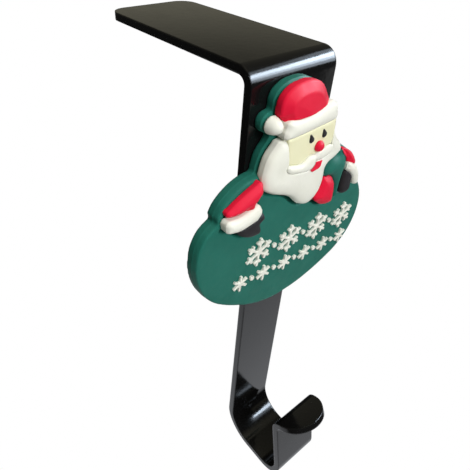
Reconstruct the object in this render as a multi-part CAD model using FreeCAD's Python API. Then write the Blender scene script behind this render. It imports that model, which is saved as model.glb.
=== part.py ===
import FreeCAD, Part
import math
import os

from FreeCAD import Vector

# Mantel stocking holder: a flat steel strip folded into a shelf plate, an upright and a hook,
# with a soft moulded plaque glued to the front of the upright.
# Millimetres, +Z up, +X to the right of someone who faces the mantel, who looks along +Y.
# The origin is the middle of the flat underside of the plate, which lies on the mantel.

# Steel strip
STRIP_T = 3.0            # thickness of the flat bar
PLATE_W = 38.0           # width of the plate and of the top of the upright
HOOK_W = 24.0            # width of the lower upright, the hook and its lip
PLATE_DEPTH = 85.0       # front of the upright to the back edge of the plate
PLATE_CORNER_R = 7.0     # back corners of the plate, in plan
SHELF_BEND_R = 3.0       # inner radius of the fold between plate and upright
HEIGHT = 199.5           # top of the plate to the lowest point of the hook
TAPER_TOP = 42.0         # top of the plate to where the upright starts to narrow
TAPER_LENGTH = 46.0      # height over which it narrows

# Hook
HOOK_REACH = 34.8        # front of the upright to the foremost point of the hook's leg
BACK_BEND_R = 13.0       # inner radius of the bend under the upright
FRONT_BEND_R = 8.0       # inner radius of the bend under the leg
LEG_LENGTH = 26.2        # straight stretch of the front leg
LEG_LEAN = 11.5          # degrees that the leg leans back towards the upright
LIP_BEND_R = 3.0         # inner radius of the bend that turns the lip forwards
LIP_RISE = 29.0          # degrees that the lip rises over the horizontal

# Plaque
PLAQUE_W = 90.0          # widest, across the sack
PLAQUE_H = 95.0          # top of the cap to the bottom of the sack
PLAQUE_DROP = 4.6        # top of the plate to the top of the cap
SACK_T = 5.5             # thickness of the base under the sack and the arms
HEAD_T = 4.2             # thickness of the base under the head
ARMPIT_R = 0.8           # rounding where the head meets the arms

# Fronts of the coloured fillings, measured from the plaque's back
CAP_FRONT = 9.6
TRIM_FRONT = 10.2
BOBBLE_FRONT = 9.2
BEARD_FRONT = 9.6
FACE_FRONT = 9.0
MOUSTACHE_FRONT = 10.4    # its left half, which stands proud
WHISKER_FRONT = 9.9       # its right half
NOSE_FRONT = 11.0
MOUTH_FRONT = 10.0
EYE_FRONT = 9.4
SLEEVE_FRONT = 9.4
CUFF_FRONT = 10.0
MITTEN_FRONT = 9.2
COAT_FRONT = 9.4
KNOT_FRONT = 9.0
MOTIF_FRONT = 6.7

# Bevels of the front edges
SACK_BEVEL = 1.2
CAP_BEVEL = 1.6
TRIM_BEVEL = 1.1
BOBBLE_BEVEL = 1.6
BEARD_BEVEL = 1.2
MOUSTACHE_BEVEL = 0.6
WHISKER_BEVEL = 0.5
NOSE_BEVEL = 0.9
SLEEVE_BEVEL = 1.0
CUFF_BEVEL = 0.9
MITTEN_BEVEL = 0.7
COAT_BEVEL = 1.2
KNOT_BEVEL = 0.8

# Cream motifs on the sack
FLAKE_SIZE = 13.0        # across a large snowflake
STAR_SIZE = 7.4          # across a small star
CRYSTAL_SIZE = 2.6       # across the corners of a small hexagon
STROKE_W = 1.3           # width of every bar of a flake or star
MOTIF_TILT = 5.0         # degrees that the rows fall to the right
TWIG_LENGTH = 2.1        # of the side twigs of a flake
TWIG_PLACE = 0.58        # where they leave an arm, as a share of its length
FLAKE_ROW = (-14.0, 61.6)    # middle of the first flake, in squares of the plaque's drawing
FLAKE_STEP = 16.2
STAR_ROW = (-22.0, 73.0)
STAR_STEP = 11.8

SOFT_SHARE = 0.47        # share of a side that a soft corner's arc takes up

FRONT_Y = -(PLATE_DEPTH + STRIP_T + SHELF_BEND_R) / 2     # front face of the upright
TOP_Z = STRIP_T                                           # top face of the plate
GRID_X = PLAQUE_W / 90.0     # the plaque is drawn on a grid of 90 squares across
GRID_Z = PLAQUE_H / 95.0     # and 95 squares down from the top of the cap
GRID = min(GRID_X, GRID_Z)   # radii and bevels follow the smaller of the two


# Folded strip

def strip_profile():
    """Side view of the strip in the YZ plane: a path walked along its middle, with both faces offset."""
    y, z = FRONT_Y + PLATE_DEPTH, TOP_Z - STRIP_T / 2
    heading = math.pi                      # along -Y
    faces = {1: [], -1: []}                # edges to the left and to the right of the path
    half = STRIP_T / 2

    def side(side_sign):
        return Vector(0, y - side_sign * half * math.sin(heading), z + side_sign * half * math.cos(heading))

    def straight(length):
        nonlocal y, z
        starts = {s: side(s) for s in faces}
        y += length * math.cos(heading)
        z += length * math.sin(heading)
        for s in faces:
            faces[s].append(Part.LineSegment(starts[s], side(s)))

    def bend(inner_r, degrees):
        """Turns left for positive degrees; inner_r is the radius on the inside of the bend."""
        nonlocal y, z, heading
        turn = math.radians(degrees)
        sign = 1 if degrees > 0 else -1
        r = inner_r + half
        cy, cz = y - sign * r * math.sin(heading), z + sign * r * math.cos(heading)
        starts = {s: side(s) for s in faces}
        middles = {}
        start_heading = heading
        for share in (0.5, 1.0):
            heading = start_heading + turn * share
            y, z = cy + sign * r * math.sin(heading), cz - sign * r * math.cos(heading)
            for s in faces:
                middles.setdefault(s, []).append(side(s))
        for s in faces:
            faces[s].append(Part.Arc(starts[s], middles[s][0], middles[s][1]))

    upright = HEIGHT - 2 * STRIP_T - SHELF_BEND_R - BACK_BEND_R
    hook_floor = HOOK_REACH - BACK_BEND_R - FRONT_BEND_R - STRIP_T
    straight(PLATE_DEPTH - STRIP_T - SHELF_BEND_R)
    bend(SHELF_BEND_R, 90)
    straight(upright)
    bend(BACK_BEND_R, -90)
    straight(hook_floor)
    bend(FRONT_BEND_R, -90 - LEG_LEAN)
    straight(LEG_LENGTH)
    bend(LIP_BEND_R, 90 + LEG_LEAN - LIP_RISE)
    lip_start = Vector(0, y, z)
    lip_heading = heading
    straight(HOOK_W / 2 + STRIP_T)
    return faces, lip_start, lip_heading


def strip_section(faces):
    ends = [Part.LineSegment(faces[1][-1].EndPoint, faces[-1][-1].EndPoint)]
    starts = [Part.LineSegment(faces[-1][0].StartPoint, faces[1][0].StartPoint)]
    edges = [g.toShape() for g in faces[1] + ends + faces[-1] + starts]
    return Part.Face(Part.Wire(Part.__sortEdges__(edges)))


def front_outline():
    """Front view of the strip's width, in the XZ plane: wide at the top, narrow from the taper down."""
    wide, narrow = PLATE_W / 2, HOOK_W / 2
    top, bottom = TOP_Z + STRIP_T, TOP_Z - HEIGHT - STRIP_T
    taper_top = TOP_Z - TAPER_TOP
    taper_bottom = taper_top - TAPER_LENGTH
    right = [(wide, top), (wide, taper_top), (narrow, taper_bottom), (narrow, bottom)]
    corners = right + [(-x, z) for x, z in reversed(right)]
    return Part.Face(Part.makePolygon([Vector(x, 0, z) for x, z in corners + corners[:1]]))


def lip_rounding(lip_start, lip_heading):
    """What is cut off the lip to leave a half-round end, as a slab with a round hole on the lip's line."""
    along = Vector(0, math.cos(lip_heading), math.sin(lip_heading))
    normal = Vector(0, -math.sin(lip_heading), math.cos(lip_heading))
    depth = 3 * STRIP_T
    block = Part.makeBox(2 * HOOK_W, 2 * HOOK_W, depth, Vector(-HOOK_W, 0, -depth / 2))
    block = block.cut(Part.makeCylinder(HOOK_W / 2, depth, Vector(0, 0, -depth / 2)))
    turn = FreeCAD.Rotation(Vector(1, 0, 0), along, normal, "ZYX")
    block.Placement = FreeCAD.Placement(lip_start, turn)
    return block


def hook_strip():
    faces, lip_start, lip_heading = strip_profile()
    section = strip_section(faces)
    section.translate(Vector(-PLATE_W, 0, 0))
    strip = section.extrude(Vector(2 * PLATE_W, 0, 0))
    width = front_outline()
    width.translate(Vector(0, FRONT_Y - 2 * HOOK_REACH, 0))
    strip = strip.common(width.extrude(Vector(0, PLATE_DEPTH + 3 * HOOK_REACH, 0)))
    strip = strip.cut(lip_rounding(lip_start, lip_heading))
    back_y = FRONT_Y + PLATE_DEPTH
    corners = [e for e in strip.Edges if e.BoundBox.YMin > back_y - 0.01 and e.BoundBox.ZLength > STRIP_T / 2
               and e.BoundBox.XLength < 0.01]
    return strip.makeFillet(PLATE_CORNER_R, corners)


# Plaque: outlines

def at(x, down):
    """A point of the plaque's drawing, in grid squares right of the middle and down from the cap's top."""
    return Vector(x * GRID_X, FRONT_Y, TOP_Z - PLAQUE_DROP - down * GRID_Z)


def rounded(corners):
    """
    A closed outline of straight sides and tangent arcs through a list of corners.
    A corner that gives a third value has that radius, and one of 0 stays sharp. Any other corner
    gets an arc that takes up nearly half of its shorter side, which makes a soft continuous curve.
    """
    places = [at(*corner[:2]) for corner in corners]
    last = len(corners) - 1
    arcs = []
    for i, corner in enumerate(corners):
        here, before, after = places[i], places[i - 1], places[0 if i == last else i + 1]
        side = min((before - here).Length, (after - here).Length)
        to_before, to_after = (before - here).normalize(), (after - here).normalize()
        half_angle = to_before.getAngle(to_after) / 2
        radius = corner[2] * GRID if len(corner) == 3 else SOFT_SHARE * side * math.tan(half_angle)
        cut = radius / math.tan(half_angle)
        bulge = radius * (1 / math.sin(half_angle) - 1)
        middle = here + (to_before + to_after).normalize() * bulge
        arcs.append((here + to_before * cut, middle, here + to_after * cut))
    edges = []
    for i, (start, middle, end) in enumerate(arcs):
        edges.append(Part.LineSegment(arcs[i - 1][2], start).toShape())
        if start.distanceToPoint(end) > 1e-6:
            edges.append(Part.Arc(start, middle, end).toShape())
    return Part.Wire(edges)


def disc(x, down, radius):
    return Part.Wire(Part.makeCircle(radius * GRID, at(x, down), Vector(0, 1, 0)))


def slab(wire, front, back=0.0):
    """The outline filled from one depth to another, both measured forwards from the plaque's back."""
    face = Part.Face(wire)
    face.translate(Vector(0, -back, 0))
    return face.extrude(Vector(0, -(front - back), 0))


def bevelled(solid, front, width):
    """The solid with a bevelled edge all round its front."""
    y = FRONT_Y - front
    edges = [e for e in solid.Edges if abs(e.BoundBox.YMin - y) < 0.001 and abs(e.BoundBox.YMax - y) < 0.001]
    return solid.makeChamfer(width * GRID, edges)


# Corners of the plaque's outline, in runs that the base shares with what lies on it
CAP_TOP = [(-12.6, 3.6), (-8.0, 0.2), (-0.8, -0.5), (4.8, 1.4)]
CAP_END = (10.4, 8.6)
HEAD_RIGHT = [(13.2, 13.6), (14.1, 19.0), (16.5, 22.8), (19.9, 26.2)]
RIGHT_ARMPIT = (21.0, 28.3)
RIGHT_ARM = [(24.6, 29.4), (30.4, 33.4), (33.6, 38.8), (35.2, 43.4), (36.6, 46.2, 2)]
SACK = [(43.0, 52.0), (47.3, 60.4), (48.0, 69.4), (45.5, 77.8), (38.6, 85.6), (27.0, 90.8), (13.0, 94.4),
        (-2.0, 94.6), (-14.0, 90.8), (-26.0, 83.6), (-34.4, 76.8), (-40.0, 67.8), (-42.4, 58.2),
        (-41.4, 48.8), (-38.2, 43.2)]
NOTCH = [(-33.6, 40.6, 0), (-34.2, 38.2, 1.8)]
LEFT_ARM = [(-32.2, 34.6), (-27.8, 31.0), (-22.4, 28.7)]
LEFT_ARMPIT = (-17.6, 28.4)
HEAD_LEFT = [(-17.3, 26.0), (-16.1, 21.5), (-11.6, 16.6)]
BOBBLE_LOBE = (-13.4, 11.8, 3.4)

# Corners of the coloured fillings
CAP = CAP_TOP + [(10.2, 9.6, 0), (3.0, 11.4), (-5.0, 12.2), (-12.6, 12.2, 0)]
TRIM = [(-11.4, 9.9, 2.2), (-5.0, 10.5), (2.0, 9.9), (9.0, 7.7, 1.6), (11.4, 9.0, 1.6), (13.2, 15.1, 2),
        (4.0, 15.8), (-7.6, 16.7), (-11.6, 16.4, 1.5)]
BEARD_TOP = [(-12.0, 17.0, 0), (-8.0, 16.9, 0), (4.0, 16.0, 0), (13.7, 14.8, 0)]
BEARD_TIP = [(21.0, 29.4, 1.6), (16.6, 32.0), (13.0, 33.0), (13.6, 38.8), (11.8, 44.6), (6.4, 48.0),
             (1.6, 45.8), (-3.2, 40.4), (-12.4, 36.4), (-16.8, 33.2), (-17.7, 28.8)]
BEARD = BEARD_TOP + HEAD_RIGHT[1:] + BEARD_TIP + HEAD_LEFT[:2]
FACE = [(-9.6, 16.0, 0), (-9.2, 20.0), (-8.1, 26.2, 0.8), (-1.0, 28.6), (6.0, 27.2), (12.0, 26.2),
        (13.2, 20.5), (12.8, 14.8, 0), (4.0, 15.4)]
MOUSTACHE = [(-9.4, 25.4, 0.9), (-5.0, 26.9), (-1.4, 27.5), (1.6, 25.0), (4.8, 26.0), (5.2, 29.0),
             (2.6, 31.2), (-4.4, 30.2), (-8.6, 28.8)]
WHISKER = [(3.0, 25.6), (7.0, 25.4), (10.4, 24.0), (14.0, 24.6, 1.1), (13.0, 27.6, 1.6), (9.0, 28.8),
           (4.0, 28.2)]
LEFT_SLEEVE = [(-33.8, 36.8, 1.2), (-28.4, 33.3), (-17.8, 28.6, 1.2), (-16.6, 33.2, 1.8), (-19.4, 36.6, 1.6),
               (-27.2, 38.6)]
LEFT_CUFF = [(-33.2, 37.9, 1.6), (-27.2, 39.0), (-19.0, 36.6, 1.6), (-17.0, 40.0), (-19.6, 43.0, 1.6),
             (-27.0, 44.4), (-32.4, 42.9, 1.6)]
LEFT_MITTEN = [(-28.8, 43.4, 1), (-26.0, 47.2), (-21.8, 50.0), (-16.0, 50.3, 1.4), (-17.2, 45.6, 0.6),
               (-14.7, 44.3, 1), (-16.4, 41.4, 1)]
RIGHT_SLEEVE = [(20.8, 28.8, 1.1), (25.0, 30.4), (29.6, 33.6), (33.0, 38.4, 1.1), (30.8, 39.6, 1.1),
                (26.6, 36.4), (21.6, 31.8, 1.1)]
RIGHT_CUFF = [(26.6, 36.0, 1.2), (32.0, 38.8), (35.4, 44.2), (35.6, 49.8, 1.2), (33.2, 48.4, 1),
              (30.6, 43.2), (26.2, 39.6, 1.4)]
RIGHT_MITTEN = [(25.6, 39.4, 1), (29.0, 41.6), (32.2, 46.2), (31.9, 51.4), (26.0, 51.3), (25.2, 45.0)]
COAT = [(14.2, 38.8, 1.6), (19.2, 39.4), (22.2, 45.0), (22.2, 53.2, 2), (16.4, 52.4), (10.6, 47.6, 1.8),
        (13.0, 43.2)]
KNOT = [(14.2, 36.2), (16.8, 32.2), (20.6, 31.6, 1), (21.4, 29.0, 1), (24.6, 31.6), (27.0, 36.2),
        (25.3, 42.4), (25.3, 51.4, 1), (22.9, 52.4, 1), (22.8, 45.4), (18.8, 39.8), (14.8, 39.4, 1.4)]
MOUTH = [(4.4, 27.2, 0.6), (8.2, 28.0, 0.8), (7.6, 31.4, 1.4), (3.6, 32.0, 1.0), (1.8, 30.2, 0.5)]
BOBBLE = (-13.8, 11.8, 3.0)
NOSE = (5.3, 22.7, 2.0)
EYE = [(-1.0, -2.3, 0.3), (1.9, 0.8, 0.9), (-1.0, 1.7, 0.9)]
EYE_PLACES = [(1.1, 19.1), (7.3, 18.8)]


# Plaque: solids

def filling(wire, front, bevel, back=HEAD_T):
    """A coloured filling with a bevelled front edge, down to the plane that it lies on."""
    return bevelled(slab(wire, front, back), front, bevel)


def cutter(wire):
    """An outline as a slab deeper than the plaque: what it cuts ends against it, side to side."""
    return slab(wire, 2 * BOBBLE_FRONT, -BOBBLE_FRONT)


def plaque_base():
    """The base: thin under the head, thicker under the arms and the sack, with the sack's knot on it."""
    below = RIGHT_ARM + SACK + NOTCH + LEFT_ARM
    armpits = [RIGHT_ARMPIT + (ARMPIT_R,)] + below + [LEFT_ARMPIT + (ARMPIT_R,)]
    thick = [RIGHT_ARMPIT + (0,)] + below + [LEFT_ARMPIT + (0,)]
    whole = CAP_TOP + [CAP_END] + HEAD_RIGHT + armpits + HEAD_LEFT
    base = slab(rounded(whole), HEAD_T).fuse(slab(disc(*BOBBLE_LOBE), HEAD_T))
    base = base.fuse(filling(rounded(thick), SACK_T, SACK_BEVEL, 0))
    return base.fuse(filling(rounded(KNOT), KNOT_FRONT, KNOT_BEVEL)).removeSplitter()


def cap():
    return filling(rounded(CAP), CAP_FRONT, CAP_BEVEL).cut(cutter(disc(*BOBBLE))).cut(cutter(rounded(TRIM)))


def cap_trim():
    return filling(rounded(TRIM), TRIM_FRONT, TRIM_BEVEL).cut(cutter(disc(*BOBBLE)))


def cap_bobble():
    return filling(disc(*BOBBLE), BOBBLE_FRONT, BOBBLE_BEVEL)


def beard(base):
    whole = filling(rounded(BEARD), BEARD_FRONT, BEARD_BEVEL).cut(base)
    for neighbour in (FACE, MOUSTACHE, WHISKER, TRIM):
        whole = whole.cut(cutter(rounded(neighbour)))
    return whole


def face(base):
    whole = slab(rounded(FACE), FACE_FRONT, HEAD_T).cut(base)
    for neighbour in (MOUSTACHE, WHISKER, TRIM):
        whole = whole.cut(cutter(rounded(neighbour)))
    return whole


def moustache(base):
    whole = filling(rounded(MOUSTACHE), MOUSTACHE_FRONT, MOUSTACHE_BEVEL)
    return whole.fuse(filling(rounded(WHISKER), WHISKER_FRONT, WHISKER_BEVEL)).cut(base).removeSplitter()


def nose():
    return filling(disc(*NOSE), NOSE_FRONT, NOSE_BEVEL, FACE_FRONT)


def mouth():
    lips = slab(rounded(MOUTH), MOUTH_FRONT, BEARD_FRONT)
    return lips.cut(cutter(rounded(MOUSTACHE))).cut(cutter(rounded(WHISKER)))


def eyes():
    drops = []
    for x, down in EYE_PLACES:
        corners = [(x + dx, down + dd, r) for dx, dd, r in EYE]
        drops.append(slab(rounded(corners), EYE_FRONT, FACE_FRONT))
    return Part.makeCompound(drops)


def sleeve(corners, cuff, base):
    whole = filling(rounded(corners), SLEEVE_FRONT, SLEEVE_BEVEL).cut(base)
    return whole.cut(cutter(rounded(cuff))).cut(cutter(rounded(BEARD)))


def cuff(corners, base):
    return filling(rounded(corners), CUFF_FRONT, CUFF_BEVEL).cut(base)


def mitten(corners, cuff_corners, base):
    return filling(rounded(corners), MITTEN_FRONT, MITTEN_BEVEL).cut(base).cut(cutter(rounded(cuff_corners)))


def coat_front(base):
    return filling(rounded(COAT), COAT_FRONT, COAT_BEVEL).cut(base).cut(cutter(rounded(BEARD)))


# Cream motifs: snowflakes, small stars and hexagonal crystals in two rows that follow the sack

def bar(centre, degrees, start, end):
    """A bar along a ray from a centre, raised from the sack."""
    angle = math.radians(degrees)
    along = Vector(math.cos(angle), 0, math.sin(angle))
    across = Vector(-math.sin(angle), 0, math.cos(angle)) * (STROKE_W / 2)
    first, second = centre + along * start, centre + along * end
    corners = [first + across, second + across, second - across, first - across]
    return slab(Part.makePolygon(corners + corners[:1]), MOTIF_FRONT, SACK_T)


def star(centre, size):
    """Three bars that cross in the middle."""
    bars = [bar(centre, 60 * i + 30 - MOTIF_TILT, -size / 2, size / 2) for i in range(3)]
    return bars[0].multiFuse(bars[1:]).removeSplitter()


def snowflake(centre):
    """A star with a pair of twigs on each of its six arms."""
    branch = TWIG_PLACE * FLAKE_SIZE / 2
    twigs = []
    for arm in range(6):
        degrees = 60 * arm + 30 - MOTIF_TILT
        angle = math.radians(degrees)
        root = centre + Vector(math.cos(angle), 0, math.sin(angle)) * branch
        twigs += [bar(root, degrees + side * 60, 0, TWIG_LENGTH) for side in (-1, 1)]
    return star(centre, FLAKE_SIZE).multiFuse(twigs).removeSplitter()


def crystal(centre):
    """A small hexagon that points up."""
    angles = [math.radians(60 * i + 30) for i in range(7)]
    corners = [centre + Vector(math.cos(a), 0, math.sin(a)) * (CRYSTAL_SIZE / 2) for a in angles]
    return slab(Part.makePolygon(corners), MOTIF_FRONT, SACK_T)


def row(first, step, count, make, share=0.0):
    """Copies of a motif along a row; a share of 0.5 puts them halfway between those of share 0."""
    fall = math.tan(math.radians(MOTIF_TILT))
    solids = []
    for i in range(count):
        along = (i + share) * step
        solids.append(make(at(first[0] + along, first[1] + along * fall)))
    return solids


def snow_motifs():
    solids = row(FLAKE_ROW, FLAKE_STEP, 4, snowflake)
    solids += row(FLAKE_ROW, FLAKE_STEP, 3, crystal, 0.5)
    solids += row(STAR_ROW, STAR_STEP, 6, lambda centre: star(centre, STAR_SIZE))
    solids += row(STAR_ROW, STAR_STEP, 5, crystal, 0.5)
    return Part.makeCompound(solids)


def main():
    base = plaque_base()
    parts = {
        "hook_strip": hook_strip(),
        "plaque_base": base,
        "cap": cap(),
        "cap_trim": cap_trim(),
        "cap_bobble": cap_bobble(),
        "beard": beard(base),
        "face": face(base),
        "moustache": moustache(base),
        "nose": nose(),
        "mouth": mouth(),
        "eyes": eyes(),
        "left_sleeve": sleeve(LEFT_SLEEVE, LEFT_CUFF, base),
        "left_cuff": cuff(LEFT_CUFF, base),
        "left_mitten": mitten(LEFT_MITTEN, LEFT_CUFF, base),
        "right_sleeve": sleeve(RIGHT_SLEEVE, RIGHT_CUFF, base),
        "right_cuff": cuff(RIGHT_CUFF, base),
        "right_mitten": mitten(RIGHT_MITTEN, RIGHT_CUFF, base),
        "coat_front": coat_front(base),
        "snow_motifs": snow_motifs(),
    }
    os.makedirs("parts", exist_ok=True)
    for name, shape in parts.items():
        shape.exportStep("parts/" + name + ".step")


main()
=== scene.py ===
import math

import bmesh
import bpy
from mathutils import Matrix, Vector
from mathutils.bvhtree import BVHTree

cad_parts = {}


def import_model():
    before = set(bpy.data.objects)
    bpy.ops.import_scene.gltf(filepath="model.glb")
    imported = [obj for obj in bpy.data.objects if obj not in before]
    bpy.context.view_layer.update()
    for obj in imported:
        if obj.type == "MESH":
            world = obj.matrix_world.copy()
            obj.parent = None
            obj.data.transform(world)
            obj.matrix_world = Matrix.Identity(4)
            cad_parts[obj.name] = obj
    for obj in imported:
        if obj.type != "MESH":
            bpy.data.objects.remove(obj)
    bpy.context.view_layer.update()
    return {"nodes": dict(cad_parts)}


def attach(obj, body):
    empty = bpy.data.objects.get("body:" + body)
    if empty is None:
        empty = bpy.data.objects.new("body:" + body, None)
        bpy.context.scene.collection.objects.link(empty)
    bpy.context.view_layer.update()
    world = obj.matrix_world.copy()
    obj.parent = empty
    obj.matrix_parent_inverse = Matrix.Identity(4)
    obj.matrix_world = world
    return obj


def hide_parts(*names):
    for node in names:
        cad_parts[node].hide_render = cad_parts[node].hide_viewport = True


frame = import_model()
nodes = frame["nodes"]

MM = 0.001
PLAQUE_BACK = -0.0455                  # y of the plaque's back face, on the front of the upright
SHARED = 0.25                          # mm; side faces nearer than this to a neighbour's butt against it
LIMIT = 0.3                            # |y| of a normal: below it a face is a side, beyond it a front
OUTER_DEPTH = 1.0                      # mm; a depth that only the plaque's outer walls reach
FADE = 0.8                             # mm over which the groove deepens, beside the ledge

PHOTO_ANGLES = (-39.336, 36.231, 2.054)            # degrees: azimuth, elevation and roll
PHOTO_PLACE = (-0.10507, -0.13392, 0.04401)
PHOTO_LENS = 33.908                                # mm, on a sensor 36 mm wide
PHOTO_SHIFT = (0.0532, -0.0532)

FLOOR_RADIUS = 0.75
FLOOR_Z = -0.8                                     # below what the mantel would hold
FLOOR_IN_GLOSS = (0.74, 0.76, 0.80)
LAMP_AIM = Vector((0, -0.045, -0.05))              # near the middle of the plaque
GLINT_TURN = 122                                   # degrees
GLINT_COLOUR = (0.74, 0.86, 1.0)

scene = bpy.context.scene
scene.view_settings.view_transform = "Standard"


# Camera

def photo_camera():
    """The photograph's viewpoint: its place, its heading, its tilt and a small roll."""
    azimuth, elevation, roll = (math.radians(angle) for angle in PHOTO_ANGLES)
    back = Vector((math.sin(azimuth) * math.cos(elevation), -math.cos(azimuth) * math.cos(elevation),
                   math.sin(elevation)))
    level = Vector((0, 0, 1)).cross(back).normalized()
    up = back.cross(level)
    right = level * math.cos(roll) + up * math.sin(roll)
    up = up * math.cos(roll) - level * math.sin(roll)
    data = bpy.data.cameras.new("camera")
    data.sensor_width = 36.0
    data.lens = PHOTO_LENS
    data.shift_x, data.shift_y = PHOTO_SHIFT
    data.clip_start = 0.01
    camera = bpy.data.objects.new("camera", data)
    turn = Matrix((right, up, back)).transposed().to_4x4()
    camera.matrix_world = Matrix.Translation(PHOTO_PLACE) @ turn
    scene.collection.objects.link(camera)
    scene.camera = camera


# Materials

def new_material(name):
    """A material with nodes, its tree and its Principled shader."""
    material = bpy.data.materials.new(name)
    material.use_nodes = True
    tree = material.node_tree
    return material, tree, tree.nodes["Principled BSDF"]


def noise(tree, scale, detail=2.0, roughness=0.5):
    """Noise in the object's own metres."""
    place = tree.nodes.new("ShaderNodeTexCoord")
    node = tree.nodes.new("ShaderNodeTexNoise")
    node.inputs["Scale"].default_value = scale
    node.inputs["Detail"].default_value = detail
    node.inputs["Roughness"].default_value = roughness
    tree.links.new(place.outputs["Object"], node.inputs["Vector"])
    return node.outputs["Fac"]


def spread(tree, value, low, high):
    """A noise value spread over a range."""
    node = tree.nodes.new("ShaderNodeMapRange")
    node.inputs["From Min"].default_value = 0.3
    node.inputs["From Max"].default_value = 0.7
    node.inputs["To Min"].default_value = low
    node.inputs["To Max"].default_value = high
    tree.links.new(value, node.inputs["Value"])
    return node.outputs["Result"]


def bump(tree, height, distance, normal=None):
    """A bump from a height value, as high as a distance in metres, over another normal if one is given."""
    node = tree.nodes.new("ShaderNodeBump")
    node.inputs["Strength"].default_value = 1.0
    node.inputs["Distance"].default_value = distance
    tree.links.new(height, node.inputs["Height"])
    if normal:
        tree.links.new(normal, node.inputs["Normal"])
    return node.outputs["Normal"]


def colour_mix(tree, value, first, second):
    """A blend of two colours by a value. Sockets 6, 7 and 2 are the Mix node's colours A, B and Result."""
    node = tree.nodes.new("ShaderNodeMix")
    node.data_type = "RGBA"
    node.inputs[6].default_value = (*first, 1)
    node.inputs[7].default_value = (*second, 1)
    tree.links.new(value, node.inputs[0])
    return node.outputs[2]


def gloss_paint():
    """Black enamel: a slight orange peel, softened edges, and faint dust that dulls it in patches."""
    material, tree, shader = new_material("black_gloss_paint")
    colour = colour_mix(tree, noise(tree, 60, 4), (0.0035, 0.0035, 0.0035), (0.007, 0.007, 0.0075))
    tree.links.new(colour, shader.inputs["Base Color"])
    tree.links.new(spread(tree, noise(tree, 140, 6, 0.65), 0.07, 0.15), shader.inputs["Roughness"])
    edge = tree.nodes.new("ShaderNodeBevel")
    edge.samples = 6
    edge.inputs["Radius"].default_value = 0.0009
    peel = bump(tree, noise(tree, 420, 1), 0.000012, edge.outputs["Normal"])
    tree.links.new(peel, shader.inputs["Normal"])
    shader.inputs["IOR"].default_value = 1.45
    shader.inputs["Specular IOR Level"].default_value = 0.36
    return material


def vinyl(name, colour, deep, rough=(0.5, 0.62)):
    """Soft moulded vinyl: matt, faintly clouded, with a fine mould grain."""
    material, tree, shader = new_material(name)
    cloud = spread(tree, noise(tree, 110, 3), 0.0, 1.0)
    tree.links.new(colour_mix(tree, cloud, deep, colour), shader.inputs["Base Color"])
    tree.links.new(spread(tree, noise(tree, 300, 3), *rough), shader.inputs["Roughness"])
    fine = bump(tree, noise(tree, 2600, 2), 0.000018)
    tree.links.new(bump(tree, noise(tree, 420, 2), 0.00005, fine), shader.inputs["Normal"])
    shader.inputs["Specular IOR Level"].default_value = 0.16
    shader.inputs["Subsurface Weight"].default_value = 0.08
    shader.inputs["Subsurface Radius"].default_value = (0.0012, 0.0012, 0.0012)
    return material


BLACK_PAINT = gloss_paint()
GREEN = vinyl("green_vinyl", (0.019, 0.158, 0.122), (0.015, 0.138, 0.106))
RED = vinyl("red_vinyl", (0.78, 0.010, 0.046), (0.72, 0.007, 0.037), (0.48, 0.6))
CREAM = vinyl("cream_vinyl", (0.87, 0.88, 0.815), (0.83, 0.84, 0.765))
PALE_YELLOW = vinyl("pale_yellow_vinyl", (0.86, 0.85, 0.60), (0.83, 0.82, 0.56))
BLACK = vinyl("black_vinyl", (0.026, 0.023, 0.026), (0.020, 0.018, 0.020))


# Soft mouldings

def side_walls(node):
    """The side faces of a CAD node: its corners, and each face's corner numbers with its middle."""
    mesh = nodes[node].data
    corners = [v.co.copy() for v in mesh.vertices]
    sides = [(list(f.vertices), f.center.copy()) for f in mesh.polygons if abs(f.normal.y) < LIMIT]
    return corners, sides


def wall_tree(names, apart_from=()):
    """Side faces of some nodes as a search tree, without those that touch the nodes in apart_from."""
    others = wall_tree(apart_from) if apart_from else None
    corners, faces = [], []
    for name in names:
        places, sides = side_walls(name)
        first = len(corners)
        corners += places
        for numbers, middle in sides:
            if others is None or others.find_nearest(middle)[3] > SHARED * MM:
                faces.append([first + number for number in numbers])
    return BVHTree.FromPolygons(corners, faces)


def soft_copy(node, voxel):
    """A finely and evenly meshed copy of a CAD node."""
    mesh = nodes[node].data.copy()
    shape = bmesh.new()
    shape.from_mesh(mesh)
    bmesh.ops.remove_doubles(shape, verts=shape.verts, dist=1e-7)
    shape.to_mesh(mesh)
    shape.free()
    piece = bpy.data.objects.new(node + "_soft", mesh)
    scene.collection.objects.link(piece)
    remesh = piece.modifiers.new("remesh", "REMESH")
    remesh.mode = "VOXEL"
    remesh.voxel_size = voxel
    bpy.context.view_layer.update()
    evaluated = piece.evaluated_get(bpy.context.evaluated_depsgraph_get())
    fine = bpy.data.meshes.new_from_object(evaluated)
    piece.modifiers.clear()
    piece.data = fine
    fine.name = node + "_soft"
    return piece


def relax(piece, times):
    """Moves every vertex half way to the middle of its neighbours, a few times."""
    shape = bmesh.new()
    shape.from_mesh(piece.data)
    for _ in range(times):
        bmesh.ops.smooth_vert(shape, verts=shape.verts, factor=0.5, use_axis_x=True, use_axis_y=True,
                              use_axis_z=True)
    shape.to_mesh(piece.data)
    shape.free()


def along_profile(profile, gap):
    """How far the front lies behind its highest level at a distance from the edge."""
    for (near, drop), (far, next_drop) in zip(profile, profile[1:]):
        if gap <= far:
            share = (gap - near) / (far - near)
            return drop + (next_drop - drop) * share
    return profile[-1][1]


def depth_of(vertex):
    """How far a vertex stands in front of the plaque's back, in mm."""
    return (PLAQUE_BACK - vertex.co.y) / MM


def front_points(mesh, low, high):
    """The vertices of the forward faces between two depths, picked before any of them moves."""
    forward = [v for v in mesh.vertices if v.normal.y < -LIMIT]
    return [v for v in forward if low < depth_of(v) < high]


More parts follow.
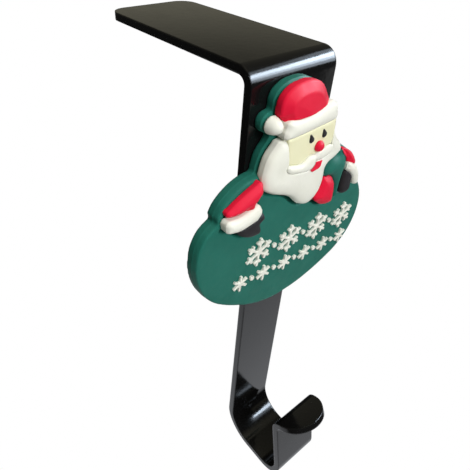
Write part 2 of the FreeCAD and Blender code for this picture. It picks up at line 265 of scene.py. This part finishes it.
def edge_gap(walls, vertex, wall_depth):
    """Distance in mm from a vertex to the nearest wall, measured at a depth that the walls reach."""
    query = Vector((vertex.co.x, PLAQUE_BACK - wall_depth * MM, vertex.co.z))
    return walls.find_nearest(query)[3] / MM


def crown(piece, walls, levels):
    """
    Shapes the front of a moulding, and lowers the walls that would stand above it. A level is its lowest
    and highest depth, the depth of its front, the depth where its walls are measured, and its profile:
    pairs of a distance from the edge and a drop. All are in mm.
    """
    for low, high, front, wall_depth, profile in levels:
        forward = set(v.index for v in front_points(piece.data, low, high))
        for vertex in piece.data.vertices:
            if low < depth_of(vertex) < high:
                depth = front - along_profile(profile, edge_gap(walls, vertex, wall_depth))
                if vertex.index in forward or depth_of(vertex) > depth:
                    vertex.co.y = PLAQUE_BACK - depth * MM
        piece.data.update()


def sink(piece, walls, outline, low, high, wall_depth, width, amount, ledge):
    """
    Presses a narrow groove into a moulding along the feet of what lies on it. The groove fades out on the
    ledge, a strip along the moulding's own outline.
    """
    for vertex in front_points(piece.data, low, high):
        gap = edge_gap(walls, vertex, wall_depth)
        if gap < width:
            inward = min(max((edge_gap(outline, vertex, OUTER_DEPTH) - ledge) / FADE, 0), 1)
            vertex.co.y += amount * inward * (1 - (gap / width) ** 2) * MM
    piece.data.update()


def slim(piece, amount):
    """Draws the sides of a moulding in, as a mould's draft and shrinkage do."""
    moves = [Vector((v.normal.x, 0, v.normal.z)) * (-amount * MM) for v in piece.data.vertices]
    for vertex, move in zip(piece.data.vertices, moves):
        vertex.co += move
    piece.data.update()


def moulding(node, material, levels, voxel=0.35, relaxed=3, settled=2, beside=(), drawn_in=0.0):
    """
    A soft copy of a node, with its front crowned wherever it doesn't butt against the nodes beside it. It
    is relaxed before the crowning and settled after it, each so many times.
    """
    piece = soft_copy(node, voxel * MM)
    relax(piece, relaxed)
    if drawn_in:
        slim(piece, drawn_in)
    crown(piece, wall_tree([node], beside), levels)
    relax(piece, settled)
    piece.data.materials.clear()
    piece.data.materials.append(material)
    for face in piece.data.polygons:
        face.use_smooth = True
        face.material_index = 0
    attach(piece, "root")
    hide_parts(node)
    return piece


def mouldings():
    """The plaque: its green base, then each coloured filling on it, and the snow motifs."""
    head = [(0, 1.3), (0.6, 0.65), (1.4, 0.2), (2.2, 0)]
    sack = [(0, 0.75), (0.3, 0.35), (0.8, 0.1), (1.4, 0)]
    knot = [(0, 2.4), (0.5, 1.5), (1.2, 0.85), (2.2, 0.35), (3.4, 0)]
    base_levels = [(6.4, 9.6, 9.0, 7.0, knot), (4.35, 6.2, 5.5, 3.0, sack), (3.2, 4.34, 4.2, 2.0, head)]
    base = moulding("plaque_base", GREEN, base_levels, voxel=0.42)
    not_fillings = ("hook_strip", "plaque_base", "snow_motifs")
    fillings = wall_tree([name for name in nodes if name not in not_fillings])
    outline = wall_tree(["plaque_base"])
    sink(base, fillings, outline, 4.4, 6.2, 6.5, 1.4, 2.4, 2.3)
    shoulder = [(0, 3.0), (0.3, 2.4), (2.8, 0.75), (3.1, 0.58), (9.0, 0)]
    moulding("cap", RED, [(5.6, 9.8, 9.6, 6.5, shoulder)], settled=1, beside=("cap_trim",))
    band = [(0, 1.8), (0.5, 0.95), (1.2, 0.4), (2.2, 0.1), (3.0, 0)]
    moulding("cap_trim", CREAM, [(7.4, 10.4, 10.2, 8.6, band)])
    ball = [(0, 4.4), (0.25, 3.0), (0.8, 1.7), (1.5, 0.8), (2.3, 0.2), (3.0, 0)]
    moulding("cap_bobble", CREAM, [(5.2, 9.4, 9.2, 6.0, ball)], voxel=0.25, relaxed=4,
             settled=8)
    lock = [(0, 2.8), (0.5, 1.7), (1.3, 0.95), (2.6, 0.4), (4.2, 0.12), (6.0, 0)]
    moulding("beard", CREAM, [(6.2, 9.8, 9.6, 7.0, lock)], settled=6,
             beside=("face", "moustache", "cap_trim"))
    cheek = [(0, 0.3), (0.5, 0.08), (1.2, 0)]
    moulding("face", PALE_YELLOW, [(7.4, 9.2, 9.0, 7.5, cheek)])
    curl = [(0, 0.9), (0.4, 0.4), (0.9, 0.12), (1.6, 0)]
    whiskers = moulding("moustache", CREAM, [(9.0, 10.6, 10.3, 9.3, curl)], voxel=0.22)
    foot, thinning, nose_side, thin_side = 9.0, 0.48, 3.0, 6.5
    for vertex in whiskers.data.vertices:
        right = min(max((vertex.co.x / MM - nose_side) / (thin_side - nose_side), 0), 1)
        vertex.co.y += thinning * right * max(depth_of(vertex) - foot, 0) * MM
    tip = [(0, 1.5), (0.3, 0.9), (0.8, 0.35), (1.9, 0)]
    moulding("nose", RED, [(9.4, 11.2, 11.0, 9.2, tip)], voxel=0.15)
    lips = [(0, 0.15), (0.5, 0)]
    moulding("mouth", RED, [(9.8, 10.2, 10.0, 9.8, lips)], voxel=0.12, relaxed=6, settled=1)
    moulding("eyes", BLACK, [(9.1, 9.6, 9.4, 9.2, lips)], voxel=0.1, relaxed=1, settled=1)
    roll = [(0, 2.1), (0.3, 1.6), (1.8, 0.5), (2.1, 0.4), (3.6, 0)]
    fold = [(0, 1.7), (0.4, 0.95), (1.0, 0.45), (2.0, 0.1), (3.0, 0)]
    fist = [(0, 1.5), (0.4, 0.85), (1.0, 0.4), (2.0, 0.12), (3.4, 0)]
    for side in ("left", "right"):
        cuff = side + "_cuff"
        moulding(side + "_sleeve", RED, [(6.6, 9.6, 9.4, 7.0, roll)], voxel=0.25,
                 beside=(cuff,))
        moulding(cuff, CREAM, [(7.4, 10.2, 10.0, 8.0, fold)], voxel=0.25)
        moulding(side + "_mitten", BLACK, [(6.8, 9.4, 9.2, 7.5, fist)], voxel=0.25,
                 beside=(cuff,))
    moulding("coat_front", RED, [(6.6, 9.6, 9.4, 7.0, roll)], voxel=0.25, beside=("beard",))
    flake = [(0, 0.25), (0.2, 0.08), (0.5, 0)]
    moulding("snow_motifs", CREAM, [(6.2, 6.9, 6.6, 6.0, flake)], voxel=0.19, relaxed=2,
             settled=0, drawn_in=0.16)


# Floor, world and lamps

def floor():
    """A plain pale floor: white to the camera and pale grey in what the object reflects."""
    bpy.ops.mesh.primitive_circle_add(vertices=96, radius=FLOOR_RADIUS, fill_type="NGON",
                                      location=(0, 0, FLOOR_Z))
    ground = bpy.context.object
    ground.name = "floor"
    material, tree, shader = new_material("pale_floor")
    shader.inputs["Base Color"].default_value = (0.9, 0.9, 0.9, 1)
    shader.inputs["Roughness"].default_value = 0.9
    path = tree.nodes.new("ShaderNodeLightPath")
    glow = tree.nodes.new("ShaderNodeEmission")
    colour = colour_mix(tree, path.outputs["Is Camera Ray"], FLOOR_IN_GLOSS, (1, 1, 1))
    tree.links.new(colour, glow.inputs["Color"])
    seen = tree.nodes.new("ShaderNodeMath")
    seen.operation = "MAXIMUM"
    mix = tree.nodes.new("ShaderNodeMixShader")
    tree.links.new(path.outputs["Is Camera Ray"], seen.inputs[0])
    tree.links.new(path.outputs["Is Glossy Ray"], seen.inputs[1])
    tree.links.new(seen.outputs[0], mix.inputs["Fac"])
    tree.links.new(shader.outputs["BSDF"], mix.inputs[1])
    tree.links.new(glow.outputs["Emission"], mix.inputs[2])
    tree.links.new(mix.outputs["Shader"], tree.nodes["Material Output"].inputs["Surface"])
    ground.data.materials.append(material)


def world():
    """White behind the object, and a studio's darker walls and ceiling in what it reflects."""
    scene.world = bpy.data.worlds.new("studio")
    scene.world.use_nodes = True
    tree = scene.world.node_tree
    tree.nodes.clear()
    place = tree.nodes.new("ShaderNodeTexCoord")
    split = tree.nodes.new("ShaderNodeSeparateXYZ")
    height = tree.nodes.new("ShaderNodeMapRange")
    height.inputs["From Min"].default_value = -1.0
    ramp = tree.nodes.new("ShaderNodeValToRGB")
    ramp.color_ramp.interpolation = "EASE"
    # The ramp runs from straight down at 0, by the horizon at 0.5, to straight up at 1.
    below = [(0.0, 0.76), (0.14, 0.76), (0.20, 0.03), (0.50, 0.05)]
    above = [(0.59, 0.32), (0.66, 0.12), (0.92, 0.12), (1.0, 0.9)]
    stops = [(position, (level, level, level, 1)) for position, level in below]
    stops += [(position, (level, level * 0.95, level * 0.72, 1)) for position, level in above]
    elements = ramp.color_ramp.elements
    elements[0].color = stops[0][1]
    elements[1].color = stops[-1][1]
    for position, colour in stops[1:-1]:
        elements.new(position).color = colour
    dim = tree.nodes.new("ShaderNodeBackground")
    white = tree.nodes.new("ShaderNodeBackground")
    path = tree.nodes.new("ShaderNodeLightPath")
    mix = tree.nodes.new("ShaderNodeMixShader")
    out = tree.nodes.new("ShaderNodeOutputWorld")
    tree.links.new(place.outputs["Generated"], split.inputs["Vector"])
    tree.links.new(split.outputs["Z"], height.inputs["Value"])
    tree.links.new(height.outputs["Result"], ramp.inputs["Fac"])
    tree.links.new(ramp.outputs["Color"], dim.inputs["Color"])
    white.inputs["Color"].default_value = (1, 1, 1, 1)
    tree.links.new(path.outputs["Is Camera Ray"], mix.inputs["Fac"])
    tree.links.new(dim.outputs["Background"], mix.inputs[1])
    tree.links.new(white.outputs["Background"], mix.inputs[2])
    tree.links.new(mix.outputs["Shader"], out.inputs["Surface"])


def lamp(name, direction, distance, size, radiance, in_gloss=True, in_diffuse=True, colour=(1, 1, 1)):
    """A lamp that faces the plaque from a direction. It can stay out of gloss or out of diffuse light."""
    data = bpy.data.lights.new(name, "AREA")
    data.shape = "RECTANGLE"
    data.size, data.size_y = size
    data.energy = radiance * math.pi * size[0] * size[1]
    data.color = colour
    light = bpy.data.objects.new(name, data)
    away = Vector(direction).normalized()
    turn = away.to_track_quat("Z", "Y").to_matrix().to_4x4()
    light.matrix_world = Matrix.Translation(LAMP_AIM + away * distance) @ turn
    light.visible_glossy = in_gloss
    light.visible_diffuse = in_diffuse
    scene.collection.objects.link(light)


def toward(turn, rise):
    """A direction by its turn from the wall's side round to the right, and its rise, in degrees."""
    turn, rise = math.radians(turn), math.radians(rise)
    return math.sin(turn) * math.cos(rise), math.cos(turn) * math.cos(rise), math.sin(rise)


def lamps():
    """Three soft lamps for the matt vinyl, and lamps at the right that show only in gloss."""
    lamp("key", (-0.12, -0.80, 0.58), 1.0, (0.40, 0.32), 15.6, in_gloss=False, colour=(1.0, 0.995, 0.98))
    lamp("fill", (-0.10, -0.94, 0.30), 1.2, (1.2, 1.2), 0.95, in_gloss=False)
    lamp("top", (0.1, -0.2, 1.0), 1.2, (1.2, 1.2), 1.0, in_gloss=False)
    for rise, radiance in ((43, 3.0), (34, 34.0), (25, 20.0), (15, 7.0)):
        lamp("glint_%d" % rise, toward(GLINT_TURN, rise), 1.0, (1.0, 0.17), radiance, in_diffuse=False,
             colour=GLINT_COLOUR)
    lamp("side_glow", toward(117, -18), 1.0, (0.30, 0.45), 0.6, in_diffuse=False)


photo_camera()
nodes["hook_strip"].data.materials.clear()
nodes["hook_strip"].data.materials.append(BLACK_PAINT)
mouldings()
floor()
world()
lamps()
